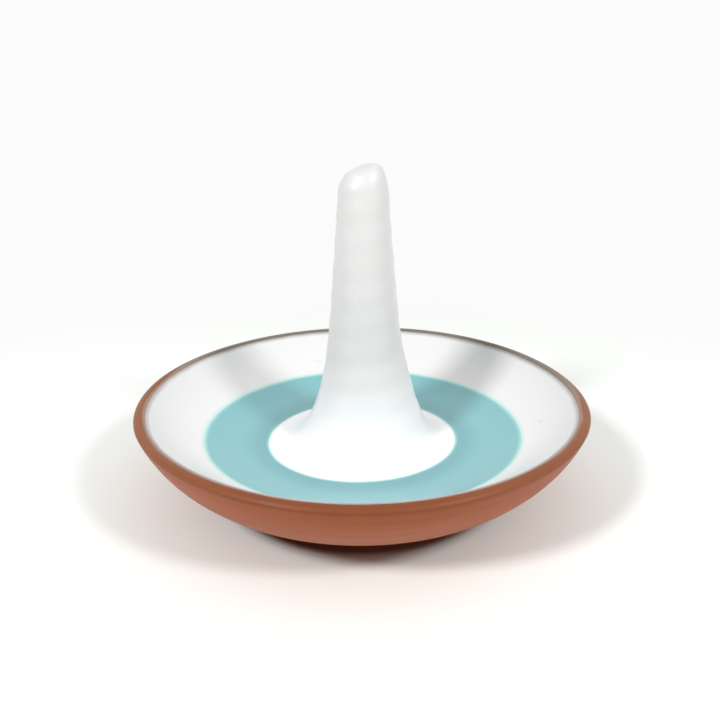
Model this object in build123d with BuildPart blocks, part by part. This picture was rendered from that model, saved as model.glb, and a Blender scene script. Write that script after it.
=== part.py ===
"""Ring dish: a wheel-thrown terracotta dish with a hollow cone for rings luted to its floor.

The outside and the lip are bare clay. The inside carries a white glaze on the wall, a turquoise
band on the floor, and a white glaze over the centre of the floor and the cone.
Millimetres, +Z up. The origin is on the table, on the dish's own axis.
"""

import os

from build123d import *

os.makedirs("parts", exist_ok=True)

# Dish, outwards from the white disc: the band, the wall, and the lip, an arc over the crest that
# comes down further on the outside than at the mouth
band_width = 16.1
wall_width = 13.0
lip_width = 2.6
lip_drop = 1.0
mouth_drop = 0.5
lip_crest_share = 0.44
rim_height = 23.5
shoulder_rise = 2.8
floor_thickness = 6.2

# Foot ring, turned on the underside: its recess goes deeper than the foot stands out
foot_radius = 28.0
foot_width = 5.0
foot_height = 3.8
recess_height = 5.2
foot_edge_round = 0.9
foot_root_round = 1.6

# Glaze coats: the white disc reaches past the cone's foot
glaze_thickness = 0.4
disc_margin = 0.55

# Ring cone: it was set down a little to one side of the dish's axis
cone_offset = 0.75
cone_foot_radius = 22.0
cone_height = 67.5
skirt_height = 36.6
spire_base_radius = 7.4
spire_tip_radius = 4.9
tip_round = 3.6
skirt_foot_share = 0.45
skirt_spire_share = 0.485

# Hollow of the cone, open over the dish's floor
cone_wall = 3.2
hollow_foot_radius = 12.0
hollow_round = 1.2

# Luted joint: slip worked into rings scored in the floor, and a vent for the hollow
slip_thickness = 0.8
score_count = 3
score_depth = 0.5
score_width = 0.9
score_margin = 1.2
vent_radius = 1.5

# Places worked out from the sizes above
disc_radius = cone_foot_radius + cone_offset + disc_margin
shoulder_radius = disc_radius + band_width
mouth_radius = shoulder_radius + wall_width
rim_radius = mouth_radius + lip_width
foot_bore = foot_radius - foot_width
floor_level = recess_height + floor_thickness
shoulder_level = floor_level + shoulder_rise
lip_level = rim_height - lip_drop
mouth_level = rim_height - mouth_drop
skirt_level = floor_level + skirt_height
crown_level = floor_level + cone_height
slip_level = floor_level + slip_thickness
spire_lean = (spire_base_radius - spire_tip_radius) / (cone_height - skirt_height)
cone_plane = Plane(origin=(cone_offset, 0, 0), x_dir=(1, 0, 0), z_dir=(0, -1, 0))
cone_axis = Axis((cone_offset, 0, 0), (0, 0, 1))


def cone_outline(base_radius, coat, inset, crown_round):
    """Half of a cone's outline: a flared skirt, a straight spire and a rounded crown.

    coat thickens it all over, and inset draws its spire and crown in, as for the hollow.
    """
    growth = coat - inset
    reach = skirt_spire_share * skirt_height
    skirt_radius = spire_base_radius + growth
    top_level = crown_level + growth
    top_radius = skirt_radius - spire_lean * (top_level - skirt_level)
    with BuildSketch(cone_plane) as outline:
        with BuildLine():
            skirt = Bezier(
                (base_radius, floor_level + coat),
                (base_radius - skirt_foot_share * base_radius, floor_level + coat),
                (skirt_radius + spire_lean * reach, skirt_level - reach),
                (skirt_radius, skirt_level),
            )
            spire = Line(skirt @ 1, (top_radius, top_level))
            Polyline(spire @ 1, (0, top_level), (0, floor_level), (base_radius, floor_level))
            if coat > 0:
                Line((base_radius, floor_level), skirt @ 0)
        make_face()
        fillet(vertices().group_by(Axis.Y)[-1].sort_by(Axis.X)[-1], crown_round)
    return outline.sketch


def score_outline():
    """The notches of the scored rings, cut down into the floor under the cone's foot."""
    span = cone_foot_radius - hollow_foot_radius - 2 * score_margin
    with BuildSketch(cone_plane) as outline:
        with BuildLine():
            for index in range(score_count):
                share = (index + 0.5) / score_count
                middle = hollow_foot_radius + score_margin + span * share
                Polyline(
                    (middle - score_width / 2, floor_level),
                    (middle, floor_level - score_depth),
                    (middle + score_width / 2, floor_level),
                    close=True,
                )
        make_face()
    return outline.sketch


# Outlines shared by the pieces that meet at them
clay_cone = cone_outline(cone_foot_radius, 0, 0, tip_round)
glazed_cone = cone_outline(cone_foot_radius, glaze_thickness, 0, tip_round + glaze_thickness)
hollow = cone_outline(hollow_foot_radius, 0, cone_wall, hollow_round)
scores = score_outline()

# Dish body
with BuildPart() as dish_body:
    with BuildSketch(Plane.XZ):
        with BuildLine():
            underside = Polyline(
                (0, recess_height),
                (foot_bore, recess_height),
                (foot_bore, 0),
                (foot_radius, 0),
                (foot_radius, foot_height),
            )
            wall = TangentArc(underside @ 1, (rim_radius, lip_level), tangent=(1, 0))
            crest = (mouth_radius + lip_crest_share * lip_width, rim_height)
            lip = ThreePointArc(wall @ 1, crest, (mouth_radius, mouth_level))
            floor = Line((0, floor_level), (disc_radius, floor_level))
            bowl = TangentArc(floor @ 1, (shoulder_radius, shoulder_level), tangent=(1, 0))
            TangentArc(bowl @ 1, lip @ 1, tangent=bowl % 1)
            Line(floor @ 0, underside @ 0)
        make_face()
        foot_roots = vertices().sort_by(Axis.Y)[2:5].sort_by(Axis.X)[1:]
        fillet(foot_roots, foot_root_round)
        fillet(vertices().group_by(Axis.Y)[0], foot_edge_round)
    revolve(axis=Axis.Z)
    revolve(scores, axis=cone_axis, mode=Mode.SUBTRACT)
    with BuildSketch(Plane.XY.offset(floor_level)):
        with Locations((cone_offset, 0)):
            Circle(vent_radius)
    extrude(amount=-floor_thickness, mode=Mode.SUBTRACT)
dish_body.part.label = "dish_body"

# Ring cone
with BuildPart() as ring_cone:
    revolve(clay_cone, axis=cone_axis)
    revolve(hollow, axis=cone_axis, mode=Mode.SUBTRACT)
    split(bisect_by=Plane.XY.offset(slip_level), keep=Keep.TOP)
ring_cone.part.label = "ring_cone"

# Luting slip
with BuildPart() as luting_slip:
    revolve(clay_cone, axis=cone_axis)
    revolve(hollow, axis=cone_axis, mode=Mode.SUBTRACT)
    split(bisect_by=Plane.XY.offset(slip_level), keep=Keep.BOTTOM)
    revolve(scores, axis=cone_axis)
luting_slip.part.label = "luting_slip"

# Turquoise glaze band, from the white disc to the shoulder of the bowl
with BuildPart() as band_glaze:
    with BuildSketch(Plane.XZ):
        with BuildLine():
            band = TangentArc(floor @ 1, bowl @ 1, tangent=(1, 0))
            offset(amount=glaze_thickness, side=Side.LEFT)
        make_face()
    revolve(axis=Axis.Z)
band_glaze.part.label = "band_glaze"

# White glaze on the bowl's wall, which stops where the lip turns over
with BuildPart() as wall_glaze:
    with BuildSketch(Plane.XZ):
        with BuildLine():
            TangentArc(band @ 1, lip @ 1, tangent=band % 1)
            offset(amount=glaze_thickness, side=Side.LEFT)
        make_face()
    revolve(axis=Axis.Z)
wall_glaze.part.label = "wall_glaze"

# White glaze over the centre of the floor and the cone
with BuildPart() as centre_glaze:
    with BuildSketch(Plane.XY.offset(floor_level)):
        Circle(disc_radius)
    extrude(amount=glaze_thickness)
    revolve(glazed_cone, axis=cone_axis)
    revolve(clay_cone, axis=cone_axis, mode=Mode.SUBTRACT)
centre_glaze.part.label = "centre_glaze"

export_step(dish_body.part, "parts/dish_body.step")
export_step(ring_cone.part, "parts/ring_cone.step")
export_step(luting_slip.part, "parts/luting_slip.step")
export_step(band_glaze.part, "parts/band_glaze.step")
export_step(wall_glaze.part, "parts/wall_glaze.step")
export_step(centre_glaze.part, "parts/centre_glaze.step")
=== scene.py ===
"""Ring dish: the fine shape and the finishes of a thrown terracotta dish with a ring cone.

Metres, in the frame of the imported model: the origin is on the table, on the dish's own axis.
"""

import math

import bmesh
import bpy
from mathutils import Matrix, Vector, geometry, noise


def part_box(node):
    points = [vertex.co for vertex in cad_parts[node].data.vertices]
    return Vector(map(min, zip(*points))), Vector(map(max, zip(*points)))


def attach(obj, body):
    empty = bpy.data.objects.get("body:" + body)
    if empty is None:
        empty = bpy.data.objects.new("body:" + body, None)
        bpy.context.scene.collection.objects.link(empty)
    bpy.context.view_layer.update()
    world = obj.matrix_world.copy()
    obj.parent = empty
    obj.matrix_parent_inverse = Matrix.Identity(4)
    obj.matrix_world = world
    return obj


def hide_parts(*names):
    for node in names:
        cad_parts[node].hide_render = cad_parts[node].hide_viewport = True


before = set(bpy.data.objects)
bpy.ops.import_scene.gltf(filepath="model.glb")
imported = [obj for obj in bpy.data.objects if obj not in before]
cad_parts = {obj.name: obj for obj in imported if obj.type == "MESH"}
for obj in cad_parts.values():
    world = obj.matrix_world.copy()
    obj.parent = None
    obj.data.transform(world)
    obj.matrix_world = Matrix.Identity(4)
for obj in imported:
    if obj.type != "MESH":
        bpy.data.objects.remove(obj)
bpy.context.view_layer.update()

MM = 0.001

# Dish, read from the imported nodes
rim_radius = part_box("dish_body")[1].x
rim_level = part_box("dish_body")[1].z
mouth_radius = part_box("wall_glaze")[1].x
shoulder_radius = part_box("band_glaze")[1].x
shoulder_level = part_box("wall_glaze")[0].z
disc_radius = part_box("centre_glaze")[1].x
floor_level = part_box("centre_glaze")[0].z
mouth_drop = 0.5 * MM
lip_drop = 1.0 * MM
lip_crest_share = 0.44
mouth_level = rim_level - mouth_drop
lip_level = rim_level - lip_drop

# Foot ring and vent
foot_radius = 28.0 * MM
foot_bore = 23.0 * MM
foot_height = 3.8 * MM
recess_height = 5.2 * MM
foot_edge_round = 0.9 * MM
foot_root_round = 1.6 * MM
vent_radius = 1.5 * MM

# Glaze coats
glaze_thickness = 0.4 * MM
glaze_edge_round = 0.3 * MM

# Clay of the ring cone: a flared skirt, a straight spire and a rounded crown
cone_offset = 0.75 * MM
cone_foot_radius = 22.0 * MM
cone_foot_handle_share = 0.45
skirt_radius = 7.4 * MM
skirt_level = 48.0 * MM
skirt_handle = 17.75 * MM
spire_slope = 2.5 / 30.9
crown_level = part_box("centre_glaze")[1].z - glaze_thickness
crown_rise = 4.0 * MM
crown_run = 1.6 * MM
crown_rounds = (1.6 * MM, 1.2 * MM)
crown_round_share = 0.6
cone_wall = 3.2 * MM
hollow_foot_radius = 12.0 * MM
slip_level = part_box("luting_slip")[1].z
cone_reach = 0.9 * cone_foot_radius

# Rings scored under the cone's foot
score_radii = (14.47 * MM, 17.0 * MM, 19.53 * MM)
score_width = 0.9 * MM
score_depth = 0.5 * MM

# Unevenness left by the hand: its amounts, its sizes and where it lies
rim_waver = 0.25 * MM
rim_spread = 0.15 * MM
rim_slant = 0.35 * MM
rim_slant_reach = (0.5, -0.9)
throwing_ring_height = 0.06 * MM
throwing_ring_pitch = 6.5 * MM
throwing_ring_levels = (floor_level + 6 * MM, floor_level + 16 * MM)
finger_dent = 0.12 * MM
finger_dent_size = 9 * MM
skirt_swell = 0.85 * MM
swell_start = (floor_level + 2 * MM, floor_level + 9 * MM)
swell_end = (skirt_level - 2 * MM, floor_level + 12 * MM)
crown_reach = 6 * MM
crown_dent = 0.15 * MM
crown_dent_size = 4.5 * MM
crown_slant = 1.5 * MM
crown_slant_way = Vector((1, 0.3, 0))
crown_slant_reach = (3 * MM, -3.5 * MM)

# How far the brushed edges of the glazes stray from their circles, and over what width
disc_lean = Vector((0.05, -0.6, 0)) * MM
disc_oval = 1.06 * MM
disc_oval_way = Vector((0.896, 0.443, 0))
oval_balance = 0.65
shoulder_lean = Vector((0.2, -0.38, 0)) * MM
brush_reach = 6.0 * MM

# Steps round the wheel and along the outlines
turns = 240
cone_turns = 160
fine_step = 0.5 * MM
fewest_arc_steps = 8
corner_steps = 6
sharp_angle = math.radians(50)


def begin(radius, level):
    """A new outline in the XZ plane and its first point."""
    outline = bmesh.new()
    return outline, outline.verts.new((radius, 0, level))


def straight(outline, point, radius, level):
    """Carries the outline on in a straight run."""
    run = Vector((radius, 0, level)) - point.co
    point = bmesh.ops.extrude_vert_indiv(outline, verts=[point])["verts"][0]
    bmesh.ops.translate(outline, verts=[point], vec=run)
    return point


def bend(outline, point, radius, level, heading):
    """Carries the outline on along an arc that leaves at the heading, in radians up from +X."""
    run = Vector((radius, 0, level)) - point.co
    half = math.remainder(math.atan2(run.z, run.x) - heading, math.tau)
    reach = run.length / (2 * math.sin(half))
    centre = point.co + reach * Vector((-math.sin(heading), 0, math.cos(heading)))
    steps = max(fewest_arc_steps, round(abs(2 * half * reach) / fine_step))
    made = bmesh.ops.spin(
        outline, geom=[point], cent=centre, axis=(0, -1, 0), angle=2 * half, steps=steps
    )
    point = [item for item in made["geom_last"] if isinstance(item, bmesh.types.BMVert)][0]
    return point, heading + 2 * half


def sweep_along(outline, point, handle, far_handle, radius, level):
    """Carries the outline on along a Bezier curve."""
    end = Vector((radius, 0, level))
    steps = round((end - point.co).length / fine_step)
    for place in geometry.interpolate_bezier(point.co, handle, far_handle, end, steps + 1)[1:]:
        point = straight(outline, point, place.x, place.z)
    return point


def round_off(outline, point, amount):
    """Rounds the outline at one of its corners."""
    bmesh.ops.bevel(
        outline, geom=[point], offset=amount, offset_type="OFFSET", affect="VERTICES",
        segments=corner_steps, profile=0.5, material=-1,
    )


def cut_fine(outline):
    """Cuts the outline's long runs into steps of about the fine step."""
    for edge in outline.edges[:]:
        cuts = round(edge.calc_length() / fine_step) - 1
        if cuts > 0:
            bmesh.ops.subdivide_edges(outline, edges=[edge], cuts=cuts)


def throw(outline, steps):
    """Spins the outline round the dish's axis into a closed skin that faces outwards."""
    bmesh.ops.spin(
        outline, geom=outline.verts[:] + outline.edges[:], cent=(0, 0, 0), axis=(0, 0, 1),
        angle=math.tau, steps=steps, use_merge=True,
    )
    bmesh.ops.remove_doubles(outline, verts=outline.verts, dist=fine_step / 100)
    bmesh.ops.recalc_face_normals(outline, faces=outline.faces)


def ease(low, high, value):
    """0 below low, 1 above high, smooth between."""
    share = min(1, max(0, (value - low) / (high - low)))
    return share * share * (3 - 2 * share)


def waver(place):
    """Moves a place of the bowl's wall to where the hand left it: mostly at the rim."""
    radius = math.hypot(place.x, place.y)
    if radius < foot_bore:
        return place
    around = Vector((place.x, place.y, 0)) / radius
    share = ease(shoulder_radius, rim_radius, radius)
    lift = rim_waver * noise.noise(around * 1.3 + Vector((4.1, 0.7, 2.3)))
    lift += rim_slant * ease(*rim_slant_reach, around.y)
    spread = rim_spread * noise.noise(around * 1.1 + Vector((0.2, 7.7, 5.1)))
    return place + share * (around * spread + Vector((0, 0, lift)))


def brushed(place):
    """Moves the places near the edges of the turquoise band to where the brush left them."""
    radius = math.hypot(place.x, place.y)
    if radius < disc_radius - brush_reach or place.z < floor_level - score_depth / 2:
        return place
    around = Vector((place.x, place.y, 0)) / radius
    at_disc = ease(brush_reach, 0, abs(radius - disc_radius))
    at_shoulder = ease(brush_reach, 0, abs(radius - shoulder_radius))
    oval = disc_oval * (around.dot(disc_oval_way) ** 2 - oval_balance)
    along_disc = at_disc * (around.dot(disc_lean) + oval)
    along_shoulder = at_shoulder * around.dot(shoulder_lean)
    slope = math.tan(2 * math.atan2(shoulder_level - floor_level, shoulder_radius - disc_radius))
    return place + around * (along_disc + along_shoulder) + Vector((0, 0, slope * along_shoulder))


def off_centre(place, near, far):
    """Moves what lies within the near radius with the cone, and nothing beyond the far one."""
    radius = math.hypot(place.x, place.y)
    return place + Vector((cone_offset * (1 - ease(near, far, radius)), 0, 0))


def finish_mesh(skin, name, finish, replaced):
    """Turns a skin into a piece that rides with the dish and stands for its CAD node."""
    for face in skin.faces:
        face.smooth = True
    mesh = bpy.data.meshes.new(name)
    skin.to_mesh(mesh)
    skin.free()
    mesh.set_sharp_from_angle(angle=sharp_angle)
    piece = bpy.data.objects.new(name, mesh)
    bpy.context.scene.collection.objects.link(piece)
    mesh.materials.append(finish)
    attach(piece, "root")
    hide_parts(replaced)


def throw_dish(finish):
    """The bare clay body: scored floor, wall, lip, outside, foot ring, recess and vent."""
    outline, first = begin(vent_radius, floor_level)
    point = first
    for radius in score_radii:
        point = straight(outline, point, radius - score_width / 2, floor_level)
        point = straight(outline, point, radius, floor_level - score_depth)
        point = straight(outline, point, radius + score_width / 2, floor_level)
    point = straight(outline, point, disc_radius, floor_level)
    point, heading = bend(outline, point, shoulder_radius, shoulder_level, 0)
    point, _ = bend(outline, point, mouth_radius, mouth_level, heading)
    crest_radius = mouth_radius + lip_crest_share * (rim_radius - mouth_radius)
    heading = 2 * math.atan2(rim_level - mouth_level, crest_radius - mouth_radius)
    point, heading = bend(outline, point, crest_radius, rim_level, heading)
    point, _ = bend(outline, point, rim_radius, lip_level, heading)
    chord = math.atan2(foot_height - lip_level, foot_radius - rim_radius)
    root, _ = bend(outline, point, foot_radius, foot_height, 2 * chord - math.pi)
    edge = straight(outline, root, foot_radius, 0)
    inner_edge = straight(outline, edge, foot_bore, 0)
    inner_root = straight(outline, inner_edge, foot_bore, recess_height)
    last = straight(outline, inner_root, vent_radius, recess_height)
    outline.edges.new((first, last))
    round_off(outline, root, foot_edge_round)
    round_off(outline, edge, foot_edge_round)
    round_off(outline, inner_edge, foot_edge_round)
    round_off(outline, inner_root, foot_root_round)
    cut_fine(outline)
    throw(outline, turns)
    for point in outline.verts:
        # The scored floor goes with the cone, and on the underside only the vent does
        near, far = (cone_foot_radius, disc_radius)
        if point.co.z < floor_level - 2 * score_depth:
            near, far = (2 * vent_radius, foot_bore / 2)
        point.co = off_centre(brushed(waver(point.co)), near, far)
    finish_mesh(outline, "dish_body_clay", finish, "dish_body")


def pour_coat(start, far, heading, edge_round):
    """Outline of a glaze coat on an arc of the inside, and the heading at its far end."""
    outline, first = begin(start.x, start.z)
    point, far_heading = bend(outline, first, far.x, far.z, heading)
    skin_far = far + glaze_thickness * Vector((-math.sin(far_heading), 0, math.cos(far_heading)))
    skin_start = start + glaze_thickness * Vector((-math.sin(heading), 0, math.cos(heading)))
    corner = straight(outline, point, skin_far.x, skin_far.z)
    last, _ = bend(outline, corner, skin_start.x, skin_start.z, far_heading + math.pi)
    outline.edges.new((first, last))
    if edge_round:
        round_off(outline, corner, edge_round)
    return outline, far_heading


def glaze_bowl(band_finish, wall_finish):
    """The turquoise band on the floor and the white coat on the wall."""
    disc_edge = Vector((disc_radius, 0, floor_level))
    shoulder = Vector((shoulder_radius, 0, shoulder_level))
    mouth = Vector((mouth_radius, 0, mouth_level))
    band, heading = pour_coat(disc_edge, shoulder, 0, 0)
    wall, _ = pour_coat(shoulder, mouth, heading, glaze_edge_round)
    for outline in (band, wall):
        throw(outline, turns)
        for point in outline.verts:
            point.co = brushed(waver(point.co))
    finish_mesh(band, "turquoise_band_coat", band_finish, "band_glaze")
    finish_mesh(wall, "white_wall_coat", wall_finish, "wall_glaze")


def cone_run(outline, point, growth):
    """Carries the outline from the cone's foot up to the axis.

    growth thickens it over the clay's own shape: the glaze's thickness, or less than 0 for the
    hollow.
    """
    spire_radius = skirt_radius + growth
    top = crown_level + growth
    handle = point.co - Vector((cone_foot_handle_share * point.co.x, 0, 0))
    far_handle = Vector((spire_radius + spire_slope * skirt_handle, 0, skirt_level - skirt_handle))
    point = sweep_along(outline, point, handle, far_handle, spire_radius, skirt_level)
    brow_radius = spire_radius - spire_slope * (top - crown_rise - skirt_level)
    brow = straight(outline, point, brow_radius, top - crown_rise)
    edge = straight(outline, brow, brow_radius - crown_run, top)
    last = straight(outline, edge, 0, top)
    round_off(outline, brow, crown_rounds[0])
    round_off(outline, edge, min(crown_rounds[1], crown_round_share * edge.co.x))
    return last


def throwing_marks(place):
    """Moves a place of the cone: finger rings, a fuller skirt on the right, a slanting crown."""
    away = Vector((place.x - cone_offset, place.y, 0))
    around = away / max(fine_step, away.length)
    turn = math.atan2(around.y, around.x) / math.tau
    rings = throwing_ring_height * math.cos(math.tau * (place.z / throwing_ring_pitch - turn))
    rings += finger_dent * noise.noise(place / finger_dent_size + Vector((1.7, 3.1, 0.4)))
    swell = skirt_swell * ease(*swell_start, place.z) * ease(*swell_end, place.z)
    out = ease(*throwing_ring_levels, place.z) * rings + swell * max(0, around.x) ** 2
    crown = ease(crown_level - crown_reach, crown_level, place.z)
    dent = crown_dent * noise.noise(place / crown_dent_size + Vector((2.2, 0.9, 5.0)))
    slant = crown_slant * ease(*crown_slant_reach, away.dot(crown_slant_way))
    return place + around * out + Vector((0, 0, crown * (dent - slant)))


def raise_cone(finish):
    """The hollow clay cone, cut off level where it stands on the slip."""
    outline, foot = begin(cone_foot_radius, floor_level)
    top = cone_run(outline, foot, 0)
    hollow_foot = outline.verts.new((hollow_foot_radius, 0, floor_level))
    hollow_top = cone_run(outline, hollow_foot, -cone_wall)
    outline.edges.new((top, hollow_top))
    bmesh.ops.bisect_plane(
        outline, geom=outline.verts[:] + outline.edges[:], plane_co=(0, 0, slip_level),
        plane_no=(0, 0, 1), clear_inner=True,
    )
    outline.edges.new([point for point in outline.verts if len(point.link_edges) == 1])
    cut_fine(outline)
    throw(outline, cone_turns)
    for point in outline.verts:
        point.co = throwing_marks(off_centre(point.co, cone_reach, disc_radius))
    finish_mesh(outline, "ring_cone_clay", finish, "ring_cone")


def glaze_cone(finish):
    """The white coat over the centre of the floor and the cone."""
    outline, first = begin(cone_foot_radius, floor_level)
    clay_top = cone_run(outline, first, 0)
    edge_foot = straight(outline, first, disc_radius, floor_level)
    edge = straight(outline, edge_foot, disc_radius, floor_level + glaze_thickness)
    foot = straight(outline, edge, cone_foot_radius, floor_level + glaze_thickness)
    glaze_top = cone_run(outline, foot, glaze_thickness)
    outline.edges.new((clay_top, glaze_top))
    cut_fine(outline)
    throw(outline, cone_turns)
    for point in outline.verts:
        point.co = throwing_marks(off_centre(point.co, cone_reach, disc_radius))
        point.co = brushed(point.co)
    finish_mesh(outline, "white_cone_coat", finish, "centre_glaze")


# Bare clay: the widths of its marks, its less red lip with a painted sheen at the sides, the lower
# wall painted paler as light from the floor, and a painted shade on the turn in to the foot
tool_streak = 1.1 * MM
broad_streak = 4.5 * MM
clay_mottle = 14 * MM
clay_grit = 0.35 * MM
clay_relief = 0.09 * MM
lip_tint_front = (0.67, 0.75, 0.9, 1)
# Greyer, paler tint at the sides of the lip: a painted sheen
painted_sheen_side_tint = (0.85, 1.15, 1.45, 1)
lip_fade_levels = (lip_level - 0.8 * MM, lip_level + 0.2 * MM)
lip_fade_radii = (mouth_radius - 0.4 * MM, mouth_radius)
# Painted shade on the clay's underside near the foot
painted_foot_shade = (0.5, 0.47, 0.45, 1)
painted_foot_shade_levels = (recess_height + 2 * MM, floor_level - 3 * MM)
painted_foot_shade_radii = (foot_radius + 8 * MM, foot_radius + 14 * MM)

# Glaze drawn thin over the clay at the lip, further at the back than at the front
back_way = (0.2, 0.98, 0)
thin_front = (0.36, 0.28, 0.24, 1)
thin_back = (0.195, 0.19, 0.165, 1)
thin_radii = (mouth_radius - 1.3 * MM, mouth_radius)
film_reach = (0.6 * MM, 2.0 * MM)

# Glazes: painted whiter on the cone's skirt and greyer up its spire as light and shade, worn at
# its tip, and mint where white and turquoise meet
painted_cone_light_levels = (19 * MM, 40 * MM)
worn_levels = (crown_level - 12 * MM, crown_level - 5 * MM)
white_roughness = (0.28, 0.42)
deep_radii = (disc_radius + 1.2 * MM, disc_radius + 8 * MM)
mint_on_disc = (-0.8 * MM, 0.1 * MM)
mint_past_disc = (0.0, 0.7 * MM)
mint_before_wall = (-1.2 * MM, 0.0)
mint_on_wall = (0.0, 0.9 * MM)
brush_streak = 1.6 * MM
brush_wander = 0.5 * MM
brush_wander_size = 9 * MM
glaze_ripple = 9 * MM
glaze_relief = 0.03 * MM

# Specks and pits fired into the glaze, each a place, a size and a share of grey
speck_grey = (0.3, 0.29, 0.28, 1)
specks = (
    ((10.1 * MM, -7.5 * MM, 22.4 * MM), 0.6 * MM, 0.2),
    ((12.8 * MM, -6.3 * MM, 18.5 * MM), 0.5 * MM, 0.35),
    ((44.2 * MM, -3.1 * MM, 16.9 * MM), 0.4 * MM, 0.4),
    ((44.5 * MM, -3.3 * MM, 17.1 * MM), 0.4 * MM, 0.4),
    ((-13.6 * MM, 42.0 * MM, 16.7 * MM), 0.6 * MM, 0.12),
    ((-12.8 * MM, 42.0 * MM, 16.7 * MM), 0.6 * MM, 0.12),
    ((-12.0 * MM, 42.1 * MM, 16.7 * MM), 0.6 * MM, 0.1),
)


def new_finish(name):
    """A new material, its node tree and its shader."""
    finish = bpy.data.materials.new(name)
    finish.use_nodes = True
    return finish, finish.node_tree, finish.node_tree.nodes["Principled BSDF"]


def feed(tree, socket, value):
    """Gives a socket a link or a value."""
    if isinstance(value, bpy.types.NodeSocket):
        tree.links.new(value, socket)
    else:
        socket.default_value = value


def work(tree, operation, first, second):
    """The result of an operation on two numbers."""
    node = tree.nodes.new("ShaderNodeMath")
    node.operation = operation
    feed(tree, node.inputs[0], first)
    feed(tree, node.inputs[1], second)
    return node.outputs[0]


def work_vectors(tree, operation, first, second=(0, 0, 0), output=0):
    """The result of an operation on two vectors; output 1 is a number."""
    node = tree.nodes.new("ShaderNodeVectorMath")
    node.operation = operation
    feed(tree, node.inputs[0], first)
    feed(tree, node.inputs[1], second)
    return node.outputs[output]


def fade(tree, value, low, high, start=0.0, end=1.0):
    """Goes smoothly from start to end while the value goes from low to high."""
    node = tree.nodes.new("ShaderNodeMapRange")
    node.interpolation_type = "SMOOTHSTEP"
    feed(tree, node.inputs["Value"], value)
    node.inputs["From Min"].default_value = low
    node.inputs["From Max"].default_value = high
    node.inputs["To Min"].default_value = start
    node.inputs["To Max"].default_value = end
    return node.outputs["Result"]


def stain(tree, share, first, second, way="MIX"):
    """Lays the second colour over the first by a share."""
    node = tree.nodes.new("ShaderNodeMix")
    node.data_type = "RGBA"
    node.blend_type = way
    feed(tree, node.inputs[0], share)
    feed(tree, node.inputs[6], first)
    feed(tree, node.inputs[7], second)
    return node.outputs[2]


def cloud(tree, place, size, detail=2.0, roughness=0.5):
    """Soft noise from 0 to 1 with features of about the size."""
    node = tree.nodes.new("ShaderNodeTexNoise")
    feed(tree, node.inputs["Vector"], place)
    node.inputs["Scale"].default_value = 1 / size
    node.inputs["Detail"].default_value = detail
    node.inputs["Roughness"].default_value = roughness
    return node.outputs["Fac"]


def wheel_place(tree):
    """A point's place, its radius and level on the wheel, and its direction from the axis."""
    place = tree.nodes.new("ShaderNodeTexCoord").outputs["Object"]
    split = tree.nodes.new("ShaderNodeSeparateXYZ")
    tree.links.new(place, split.inputs[0])
    flat = work_vectors(tree, "MULTIPLY", place, (1, 1, 0))
    radius = work_vectors(tree, "LENGTH", flat, output=1)
    around = work_vectors(tree, "NORMALIZE", flat)
    return place, radius, split.outputs["Z"], around


def turned_streaks(tree, around, along, width, turns_share=0.6, detail=3.0):
    """Noise drawn out round the wheel, in rings of about the width."""
    ring = tree.nodes.new("ShaderNodeCombineXYZ")
    tree.links.new(work(tree, "DIVIDE", along, width), ring.inputs["Z"])
    drawn_out = work_vectors(tree, "MULTIPLY", around, (turns_share,) * 3)
    return cloud(tree, work_vectors(tree, "ADD", drawn_out, ring.outputs[0]), 1.0, detail)


def wandering_edge(tree, place, radius):
    """The radius, made to wander a little, so that what it draws has a hand-brushed edge."""
    wander = work(tree, "SUBTRACT", cloud(tree, place, brush_wander_size), 0.5)
    return work(tree, "ADD", radius, work(tree, "MULTIPLY", wander, brush_wander))


def past_disc(tree, edge, around):
    """How far the edge's radius lies outside the white disc's brushed edge."""
    lean = work_vectors(tree, "DOT_PRODUCT", around, disc_lean, output=1)
    along = work_vectors(tree, "DOT_PRODUCT", around, disc_oval_way, output=1)
    oval = work(tree, "SUBTRACT", work(tree, "MULTIPLY", along, along), oval_balance)
    stray = work(tree, "ADD", lean, work(tree, "MULTIPLY", oval, disc_oval))
    return work(tree, "SUBTRACT", work(tree, "SUBTRACT", edge, stray), disc_radius)


def past_shoulder(tree, edge, around):
    """How far the edge's radius lies outside the turquoise band's brushed edge."""
    stray = work_vectors(tree, "DOT_PRODUCT", around, shoulder_lean, output=1)
    return work(tree, "SUBTRACT", work(tree, "SUBTRACT", edge, stray), shoulder_radius)


def facing_back(tree, around):
    """0 at the front and the left of the dish, 1 at its back."""
    back = work_vectors(tree, "DOT_PRODUCT", around, back_way, output=1)
    return fade(tree, back, -0.1, 0.6)


def relief(tree, shader, height, distance):
    """Lets a height from 0 to 1 raise the surface by up to the distance."""
    node = tree.nodes.new("ShaderNodeBump")
    node.inputs["Strength"].default_value = 1.0
    node.inputs["Distance"].default_value = distance
    feed(tree, node.inputs["Height"], height)
    tree.links.new(node.outputs["Normal"], shader.inputs["Normal"])


def thin_film(tree, radius, around, mottle):
    """The share of a glaze film that runs on over the lip, further at the back of the dish."""
    reach = fade(tree, facing_back(tree, around), 0.0, 1.0, *film_reach)
    reach = work(tree, "MULTIPLY", reach, fade(tree, mottle, 0.3, 0.7, 0.7, 1.3))
    past_mouth = work(tree, "SUBTRACT", radius, mouth_radius)
    return fade(tree, work(tree, "DIVIDE", past_mouth, reach), 0.3, 1.4, 0.85, 0.0)


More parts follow.
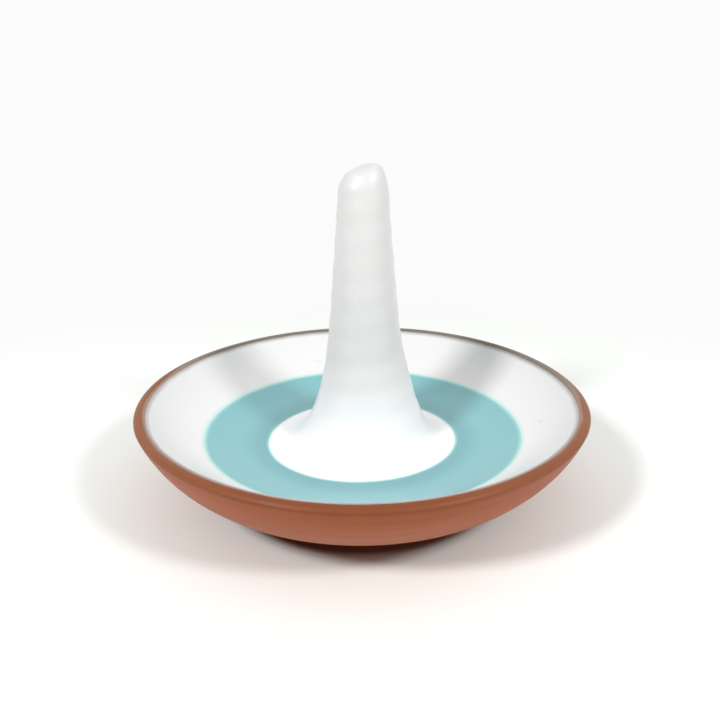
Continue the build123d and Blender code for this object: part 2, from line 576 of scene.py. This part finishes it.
def clay_finish(name, clay, dark_clay, pale_clay):
    """Bare fired clay: mottled, streaked by the turning tool, gritty, less red at the lip and
    painted greyer there at the sides as sheen, painted paler low on the wall as light from the
    floor, and painted darker near the foot as shade.
    """
    finish, tree, shader = new_finish(name)
    place, radius, level, around = wheel_place(tree)
    along = work(tree, "ADD", radius, level)
    streaks = turned_streaks(tree, around, along, tool_streak)
    broad = turned_streaks(tree, around, along, broad_streak, 0.9, 2.0)
    mottle = cloud(tree, place, clay_mottle)
    grit = cloud(tree, place, clay_grit, 3.0, 0.7)
    # Painted light: the outside wall is paler towards the bottom, for light thrown up from the
    # floor
    painted_floor_light = fade(tree, level, floor_level, lip_level, 0.8, 0.0)
    colour = stain(tree, painted_floor_light, clay, pale_clay)
    colour = stain(tree, fade(tree, mottle, 0.35, 0.7, 0.0, 0.35), colour, pale_clay)
    colour = stain(tree, fade(tree, streaks, 0.35, 0.65, 0.35, 0.0), colour, dark_clay)
    colour = stain(tree, fade(tree, broad, 0.4, 0.65, 0.25, 0.0), colour, dark_clay)
    colour = stain(tree, fade(tree, grit, 0.6, 0.75, 0.0, 0.3), colour, pale_clay)
    colour = stain(tree, fade(tree, grit, 0.25, 0.38, 0.35, 0.0), colour, dark_clay)
    at_lip = work(
        tree, "MULTIPLY",
        fade(tree, level, *lip_fade_levels),
        fade(tree, radius, *lip_fade_radii),
    )
    # Painted sheen: the lip is greyer and paler at the dish's left and right, where it is seen
    # edge-on
    painted_sheen_sideways = work_vectors(tree, "DOT_PRODUCT", around, (1, 0, 0), output=1)
    painted_sheen_sideways = work(tree, "MULTIPLY", painted_sheen_sideways, painted_sheen_sideways)
    lip_tint = stain(tree, painted_sheen_sideways, lip_tint_front, painted_sheen_side_tint)
    colour = stain(tree, at_lip, colour, lip_tint, "MULTIPLY")
    film = thin_film(tree, radius, around, mottle)
    film_colour = stain(tree, facing_back(tree, around), thin_front, thin_back)
    colour = stain(tree, work(tree, "MULTIPLY", film, at_lip), colour, film_colour)
    # Painted shade: the clay darkens under the dish towards the foot, where the contact shadow
    # falls
    painted_shade_near_foot = work(
        tree, "MULTIPLY",
        fade(tree, radius, *painted_foot_shade_radii, 1.0, 0.0),
        fade(tree, level, *painted_foot_shade_levels, 1.0, 0.0),
    )
    colour = stain(tree, painted_shade_near_foot, colour, painted_foot_shade, "MULTIPLY")
    tree.links.new(colour, shader.inputs["Base Color"])
    shader.inputs["Roughness"].default_value = 0.42
    shader.inputs["Specular IOR Level"].default_value = 0.15
    height = work(
        tree, "ADD", work(tree, "MULTIPLY", streaks, 0.7), work(tree, "MULTIPLY", grit, 0.3)
    )
    relief(tree, shader, height, clay_relief)
    return finish


def white_glaze_finish():
    """Glossy white glaze: painted whiter low on the cone and greyer up the spire as light and
    shade, worn at its tip, thin at the lip.
    """
    finish, tree, shader = new_finish("white_glaze")
    place, radius, level, around = wheel_place(tree)
    wall_white = (0.785, 0.783, 0.78, 1)
    painted_shaded_white = (0.68, 0.676, 0.67, 1)
    painted_lit_white = (0.89, 0.89, 0.89, 1)
    mint = (0.46, 0.72, 0.67, 1)
    # Painted light and shade: the cone's white goes from bright on the skirt and floor to grey up
    # the spire
    painted_cone_white = stain(tree, fade(tree, level, *painted_cone_light_levels), painted_lit_white, painted_shaded_white)
    on_wall = fade(tree, radius, disc_radius, disc_radius + 1 * MM)
    colour = stain(tree, on_wall, painted_cone_white, wall_white)
    edge = wandering_edge(tree, place, radius)
    near_band = work(
        tree, "MULTIPLY",
        fade(tree, past_disc(tree, edge, around), *mint_on_disc),
        fade(tree, past_shoulder(tree, edge, around), *mint_on_wall, 1.0, 0.0),
    )
    colour = stain(tree, work(tree, "MULTIPLY", near_band, 0.8), colour, mint)
    thin = fade(tree, edge, *thin_radii)
    thin_colour = stain(tree, facing_back(tree, around), thin_front, thin_back)
    colour = stain(tree, thin, colour, thin_colour)
    for spot, size, share in specks:
        away = work_vectors(tree, "DISTANCE", place, spot, output=1)
        colour = stain(tree, fade(tree, away, 0.3 * size, size, share, 0.0), colour, speck_grey)
    tree.links.new(colour, shader.inputs["Base Color"])
    worn = fade(tree, level, *worn_levels, *white_roughness)
    tree.links.new(worn, shader.inputs["Roughness"])
    relief(tree, shader, cloud(tree, place, glaze_ripple, 1.0), glaze_relief)
    return finish


def turquoise_glaze_finish():
    """Turquoise glaze, brushed on the turning wheel: deeper towards the cone, mint at the wall."""
    finish, tree, shader = new_finish("turquoise_glaze")
    place, radius, _, around = wheel_place(tree)
    deep = (0.152, 0.376, 0.412, 1)
    pale = (0.198, 0.462, 0.49, 1)
    mint = (0.37, 0.68, 0.62, 1)
    streaks = turned_streaks(tree, around, radius, brush_streak, detail=2.0)
    edge = wandering_edge(tree, place, radius)
    colour = stain(tree, fade(tree, radius, *deep_radii), deep, pale)
    colour = stain(tree, fade(tree, streaks, 0.35, 0.7, 0.0, 0.15), colour, pale)
    near_wall = fade(tree, past_shoulder(tree, edge, around), *mint_before_wall)
    colour = stain(tree, near_wall, colour, mint)
    near_disc = fade(tree, past_disc(tree, edge, around), *mint_past_disc, 0.8, 0.0)
    colour = stain(tree, near_disc, colour, mint)
    tree.links.new(colour, shader.inputs["Base Color"])
    shader.inputs["Roughness"].default_value = 0.2
    relief(tree, shader, streaks, glaze_relief)
    return finish


terracotta = clay_finish(
    "fired_terracotta",
    clay=(0.32, 0.082, 0.027, 1),
    dark_clay=(0.25, 0.06, 0.018, 1),
    pale_clay=(0.41, 0.115, 0.045, 1),
)
slip = clay_finish(
    "luting_slip",
    clay=(0.36, 0.13, 0.08, 1),
    dark_clay=(0.25, 0.08, 0.05, 1),
    pale_clay=(0.44, 0.2, 0.13, 1),
)
white_glaze = white_glaze_finish()
turquoise_glaze = turquoise_glaze_finish()

throw_dish(terracotta)
glaze_bowl(turquoise_glaze, white_glaze)
raise_cone(terracotta)
glaze_cone(white_glaze)
slip_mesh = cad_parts["luting_slip"].data
slip_mesh.materials.clear()
slip_mesh.materials.append(slip)

# Floor, which fades into the white surround away from the dish, and has a contact shadow painted
# on it under the dish
floor_reach = 1.5
floor_segments = 64
shadow_reach = (0.1, 0.2)
backdrop_white = 0.97
floor_white = (0.95, 0.975, 0.95, 1)
# Painted contact shadow: the floor's darker, warmer colour under the dish's rim
painted_contact_shadow = (0.42, 0.2, 0.13, 1)
painted_contact_shadow_radii = (33.0 * MM, 35.5 * MM)

# Studio light: a soft glow, and two round soft lamps in front, left and right
glow_above = 0.65
glow_behind = 1.1
glow_right = 0.64
lamp_size = 0.13
lamp_distance = 0.7
lamp_elevation = 41.5


def seen_directly(tree):
    """1 for what the camera sees, straight, mirrored or through glass."""
    rays = tree.nodes.new("ShaderNodeLightPath").outputs
    seen = work(tree, "MAXIMUM", rays["Is Camera Ray"], rays["Is Glossy Ray"])
    return work(tree, "MAXIMUM", seen, rays["Is Transmission Ray"])


def lay_floor():
    """A pale round floor, with a darker, warmer contact shadow painted where the dish stands on
    it.
    """
    outline = bmesh.new()
    bmesh.ops.create_circle(
        outline, cap_ends=True, segments=floor_segments, radius=floor_reach
    )
    mesh = bpy.data.meshes.new("studio_floor")
    outline.to_mesh(mesh)
    outline.free()
    floor = bpy.data.objects.new("studio_floor", mesh)
    bpy.context.scene.collection.objects.link(floor)
    finish, tree, shader = new_finish("pale_floor")
    shader.inputs["Roughness"].default_value = 0.9
    shader.inputs["Specular IOR Level"].default_value = 0.0
    _, radius, _, _ = wheel_place(tree)
    # Painted contact shadow: the floor darkens inside this radius, under the dish
    in_painted_contact_shadow = fade(tree, radius, *painted_contact_shadow_radii, 1.0, 0.0)
    tree.links.new(stain(tree, in_painted_contact_shadow, floor_white, painted_contact_shadow), shader.inputs["Base Color"])
    glow = tree.nodes.new("ShaderNodeEmission")
    glow.inputs["Strength"].default_value = backdrop_white
    mixed = tree.nodes.new("ShaderNodeMixShader")
    share = work(tree, "MULTIPLY", seen_directly(tree), fade(tree, radius, *shadow_reach))
    tree.links.new(share, mixed.inputs[0])
    tree.links.new(shader.outputs[0], mixed.inputs[1])
    tree.links.new(glow.outputs[0], mixed.inputs[2])
    tree.links.new(mixed.outputs[0], tree.nodes["Material Output"].inputs["Surface"])
    mesh.materials.append(finish)


def glow_from(tree, cosine, strength):
    """A broad glow that is strongest along a direction."""
    facing = work(tree, "MAXIMUM", cosine, 0.0)
    return work(tree, "MULTIPLY", work(tree, "MULTIPLY", facing, facing), strength)


def light_surround():
    """White where the camera sees it, and a soft light from above, behind and the right."""
    world = bpy.data.worlds.new("surround")
    bpy.context.scene.world = world
    world.use_nodes = True
    tree = world.node_tree
    way = tree.nodes.new("ShaderNodeSeparateXYZ")
    tree.links.new(tree.nodes.new("ShaderNodeTexCoord").outputs["Generated"], way.inputs[0])
    glow = glow_from(tree, way.outputs["Z"], glow_above)
    glow = work(tree, "ADD", glow, glow_from(tree, way.outputs["Y"], glow_behind))
    glow = work(tree, "ADD", glow, glow_from(tree, way.outputs["X"], glow_right))
    seen = seen_directly(tree)
    backdrop = work(tree, "MULTIPLY", seen, backdrop_white)
    unseen = work(tree, "SUBTRACT", 1.0, seen)
    strength = work(tree, "ADD", work(tree, "MULTIPLY", glow, unseen), backdrop)
    tree.links.new(strength, tree.nodes["Background"].inputs["Strength"])
    tree.nodes["Background"].inputs["Color"].default_value = (1, 1, 1, 1)


def hang_lamp(name, azimuth, power):
    """A round soft lamp that faces the dish."""
    lamp = bpy.data.lights.new(name, "AREA")
    lamp.shape = "DISK"
    lamp.size = lamp_size
    lamp.energy = power
    away = Vector((
        math.cos(math.radians(azimuth)) * math.cos(math.radians(lamp_elevation)),
        math.sin(math.radians(azimuth)) * math.cos(math.radians(lamp_elevation)),
        math.sin(math.radians(lamp_elevation)),
    ))
    holder = bpy.data.objects.new(name, lamp)
    holder.location = away * lamp_distance
    holder.rotation_euler = away.to_track_quat("Z", "Y").to_euler()
    bpy.context.scene.collection.objects.link(holder)


lay_floor()
light_surround()
hang_lamp("left_lamp", azimuth=225, power=2.75)
hang_lamp("right_lamp", azimuth=318.5, power=1.9)

# Camera, at the photograph's viewing angle
camera_place = Vector((-0.34, -179, 99)) * MM
camera_pitch = math.radians(20.38)
camera_roll = math.radians(-0.52)
sensor_width = 36
focal_length = 39
eye = bpy.data.cameras.new("camera")
eye.sensor_width = sensor_width
eye.lens = focal_length
camera = bpy.data.objects.new("camera", eye)
camera.matrix_world = (
    Matrix.Translation(camera_place)
    @ Matrix.Rotation(math.pi / 2 - camera_pitch, 4, "X")
    @ Matrix.Rotation(camera_roll, 4, "Z")
)
bpy.context.scene.collection.objects.link(camera)
bpy.context.scene.camera = camera
bpy.context.scene.view_settings.view_transform = "Standard"
